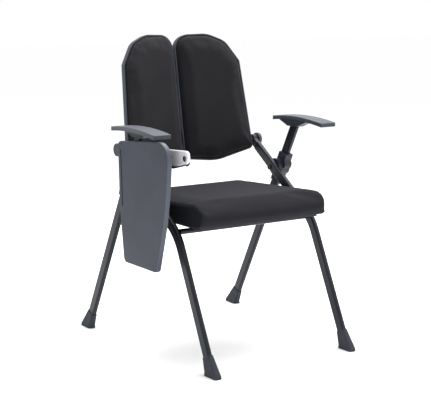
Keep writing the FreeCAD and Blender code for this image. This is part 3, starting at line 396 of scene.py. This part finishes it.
def woven_polyester(name, low, high, across, along, thread):
    """Plain-weave polyester: threads of about this many millimetres, drawn a little coarse so that they
    show. The colours passed in set the tone; on the seat they paint a lit top and shaded sides. The pattern runs
    along two directions of the piece."""
    material, tree, shader, place = begin_finish(name)
    waves = []
    for direction in (across, along):
        reach = add_node(tree, "ShaderNodeVectorMath", {"operation": "DOT_PRODUCT"}, i0=place,
                         i1=direction).outputs["Value"]
        turns = add_node(tree, "ShaderNodeMath", {"operation": "MULTIPLY"}, i0=reach,
                         i1=math.pi * 1000.0 / thread).outputs[0]
        waves.append(add_node(tree, "ShaderNodeMath", {"operation": "SINE"}, i0=turns).outputs[0])
    weave = add_node(tree, "ShaderNodeMath", {"operation": "MULTIPLY"}, i0=waves[0], i1=waves[1]).outputs[0]
    height = add_node(tree, "ShaderNodeMath", {"operation": "MULTIPLY_ADD"}, i0=weave, i1=0.5, i2=0.5).outputs[0]
    slub = add_node(tree, "ShaderNodeTexNoise", (), Vector=place, Scale=1000.0 / 3.5, Detail=3.0).outputs["Fac"]
    patches = add_node(tree, "ShaderNodeTexNoise", (), Vector=place, Scale=1000.0 / 80, Detail=3.0).outputs["Fac"]
    shade = 0.0
    for part, weight in ((height, 0.45), (slub, 0.3), (patches, 0.35)):
        shade = add_node(tree, "ShaderNodeMath", {"operation": "MULTIPLY_ADD"}, i0=part, i1=weight,
                         i2=shade).outputs[0]
    share = add_node(tree, "ShaderNodeMapRange", (), Value=shade, From_Min=0.3, From_Max=0.7).outputs[0]
    colour = add_node(tree, "ShaderNodeMix", {"data_type": "RGBA"}, i0=share, i6=linear(low),
                      i7=linear(high)).outputs[2]
    dullness = add_node(tree, "ShaderNodeMapRange", (), Value=slub, To_Min=0.82,
                        To_Max=0.95).outputs[0]
    relief = add_node(tree, "ShaderNodeBump", (), Height=height, Distance=0.22 / 1000.0,
                      Strength=0.5).outputs[0]
    tree.links.new(colour, shader.inputs["Base Color"])
    tree.links.new(dullness, shader.inputs["Roughness"])
    tree.links.new(relief, shader.inputs["Normal"])
    shader.inputs["IOR"].default_value = 1.45
    shader.inputs["Specular IOR Level"].default_value = 0.25
    shader.inputs["Sheen Weight"].default_value = 0.06
    shader.inputs["Sheen Roughness"].default_value = 0.5
    shader.inputs["Sheen Tint"].default_value = linear("#8c8e9a")
    return material


FOAM_VOXEL = 0.0055          # size of the mesh that the covers are cut from, metres
CLOTH_FRAMES = 20            # frames for which each cover is blown up


def surface_of(name):
    """Search tree over a CAD node's surface."""
    mesh = nodes[name].data
    return BVHTree.FromPolygons([v.co for v in mesh.vertices], [p.vertices[:] for p in mesh.polygons])


def points_of(piece):
    """The piece's points as an array."""
    points = np.empty(len(piece.data.vertices) * 3)
    piece.data.vertices.foreach_get("co", points)
    return points.reshape(-1, 3)


def smooth_over(piece, times):
    """Even out the loose part of the cover."""
    smooth = piece.modifiers.new("even", "SMOOTH")
    smooth.iterations = times
    smooth.vertex_group = "loose"
    bpy.ops.object.modifier_apply(modifier="even")


def upholster(name, node_name, start_smaller, held_by, held_within, flat_sides, firm_below, soften, swell):
    """Foam and cover from a CAD node's solid: cut slightly small, then blown up as cloth. Points near the
    surfaces in held_by, on flat boxing panels, or along the stapled lower edge stay where they are.
    The limits for a flat side and a firm edge are above every normal and below every point when unused."""
    bpy.ops.object.select_all(action="DESELECT")
    mesh = nodes[node_name].data.copy()
    piece = bpy.data.objects.new(name, mesh)
    bpy.context.scene.collection.objects.link(piece)
    bpy.context.view_layer.objects.active = piece
    piece.select_set(True)
    mesh.materials.clear()
    bpy.ops.object.mode_set(mode="EDIT")
    bpy.ops.mesh.select_all(action="SELECT")
    bpy.ops.mesh.remove_doubles(threshold=0.00002)
    bpy.ops.object.mode_set(mode="OBJECT")
    remesh = piece.modifiers.new("foam", "REMESH")
    remesh.mode = "VOXEL"
    remesh.voxel_size = FOAM_VOXEL
    bpy.ops.object.modifier_apply(modifier="foam")
    start = points_of(piece)
    normals = np.array([v.normal[:] for v in piece.data.vertices])
    gap = np.full(len(start), 1.0)
    for surface in held_by:
        for i, point in enumerate(start):
            found = surface.find_nearest(Vector(point), held_within * 5)
            if found[0] is not None:
                gap[i] = min(gap[i], found[3])
    gap[start[:, 2] < firm_below] = 0.0
    held = (gap < held_within) | (np.abs(normals[:, 0]) > flat_sides)
    free = np.clip((gap - held_within) / (held_within * 4), 0, 1) * (np.abs(normals[:, 0]) <= flat_sides)
    small = start - normals * (start_smaller * free)[:, None]
    piece.data.vertices.foreach_set("co", small.ravel())
    piece.data.update()
    group = piece.vertex_groups.new(name="held")
    group.add([int(i) for i in np.nonzero(held)[0]], 1.0, "REPLACE")
    loose = piece.vertex_groups.new(name="loose")
    loose.add([int(i) for i in np.nonzero(gap >= held_within)[0]], 1.0, "REPLACE")
    smooth_over(piece, soften)
    small = points_of(piece)
    cloth = piece.modifiers.new("cover", "CLOTH")
    cloth.settings.use_pressure = True
    cloth.settings.uniform_pressure_force = 4.0
    cloth.settings.effector_weights.gravity = 0.0
    cloth.settings.vertex_group_mass = "held"
    cloth.settings.quality = 5
    cloth.settings.tension_stiffness = 25
    cloth.settings.compression_stiffness = 25
    cloth.settings.bending_stiffness = 2.0
    for step in range(1, CLOTH_FRAMES + 1):
        bpy.context.scene.frame_set(step)
    bpy.ops.object.modifier_apply(modifier="cover")
    bpy.context.scene.frame_set(1)
    blown = points_of(piece)
    move = blown - small
    length = np.linalg.norm(move, axis=1, keepdims=True)
    limited = small + move * np.minimum(1.0, swell / np.maximum(length, 1e-9))
    piece.data.vertices.foreach_set("co", limited.ravel())
    piece.data.update()
    smooth_over(piece, 14)
    return piece


def finer(piece):
    """One level of subdivision, applied, and smooth shading."""
    bpy.ops.object.select_all(action="DESELECT")
    bpy.context.view_layer.objects.active = piece
    piece.select_set(True)
    level = piece.modifiers.new("finer", "SUBSURF")
    level.levels = 1
    level.render_levels = 1
    bpy.ops.object.modifier_apply(modifier="finer")
    bpy.ops.object.shade_smooth()


seat_low, seat_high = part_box("seat_cushion")
seat = upholster("seat_upholstery", "seat_cushion", start_smaller=0.001, held_by=[surface_of("seat_board")],
                 held_within=0.004, flat_sides=0.95, firm_below=seat_low.z + 0.012, soften=8, swell=0.006)
finer(seat)
cut_pattern = surface_of("seat_cushion")


def sideways(point):
    """How far the nearest place on the foam's own shape faces to the side, from 0 to 1."""
    return abs(cut_pattern.find_nearest(Vector(point))[1].x)


points = points_of(seat)
points[:, 0] = np.clip(points[:, 0], seat_low.x - 0.0003, seat_high.x + 0.0003)
normals = np.array([v.normal[:] for v in seat.data.vertices])
faces_aside = np.abs(normals[:, 0])
sewn = np.exp(-((faces_aside - 0.72) / 0.13) ** 2) * (points[:, 2] > seat_low.z + 0.006)
points -= normals * (0.0012 * sewn)[:, None]
seat.data.vertices.foreach_set("co", points.ravel())
seat.data.update()
seat.data.materials.append(woven_polyester("black_woven_polyester", "#131418", "#1c1c22",
                                           (1, 0, 0), (0, 1, 1), 2.2))
# The boxing panels at the sides take a darker copy of the same cloth: painted shade on the sides of the seat.
seat.data.materials.append(woven_polyester("black_woven_polyester_painted_side_shade", "#06080d", "#0d1016",
                                           (0, 1, 0), (0, 0, 1), 2.2))
# Faces that face sideways get the darker copy, the painted side shade.
for face in seat.data.polygons:
    face.material_index = 1 if sideways(face.center) > 0.7 else 0
finish_nodes(woven_polyester("cover_pulled_round_the_board", "#131418", "#1b1b20", (1, 1, 0), (0, 0, 1), 2.2),
             "seat_board")
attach(seat, "seat")
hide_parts("seat_cushion")


# ---------------------------------------------------------------- back cushions
# Two tall lobes of foam about 45 mm thick under black woven polyester. Each cover is pulled
# round a plastic inner plate and snaps into its tray, so the pad swells over the tray's rim.

back_cover = woven_polyester("black_back_polyester", "#171619", "#212024", (1, 1, 0), (0, 0, 1), 2.0)
for name, side in (("right", -1), ("left", 1)):
    lobe = upholster("back_upholstery_" + name, "back_cushion_" + name, start_smaller=0.001,
                     held_by=[surface_of("back_shell_" + name)], held_within=0.0022, flat_sides=2.0,
                     firm_below=0.0, soften=8, swell=0.009)
    finer(lobe)
    points = points_of(lobe)
    points[:, 0] = side * np.maximum(side * points[:, 0], 0.0008)
    lobe.data.vertices.foreach_set("co", points.ravel())
    lobe.data.update()
    lobe.data.materials.append(back_cover)
    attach(lobe, "backrest")
    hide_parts("back_cushion_" + name)


# ---------------------------------------------------------------- back trays
# Deep trays of blue-grey textured polypropylene, one behind each lobe, with a plain rim
# that shows as a thin line round the cushion.

finish_nodes(textured_moulding("blue_grey_textured_polypropylene", "#2e343d", "#353b45", 1.8, 0.12, 0.5),
             "back_shell_right", "back_shell_left")
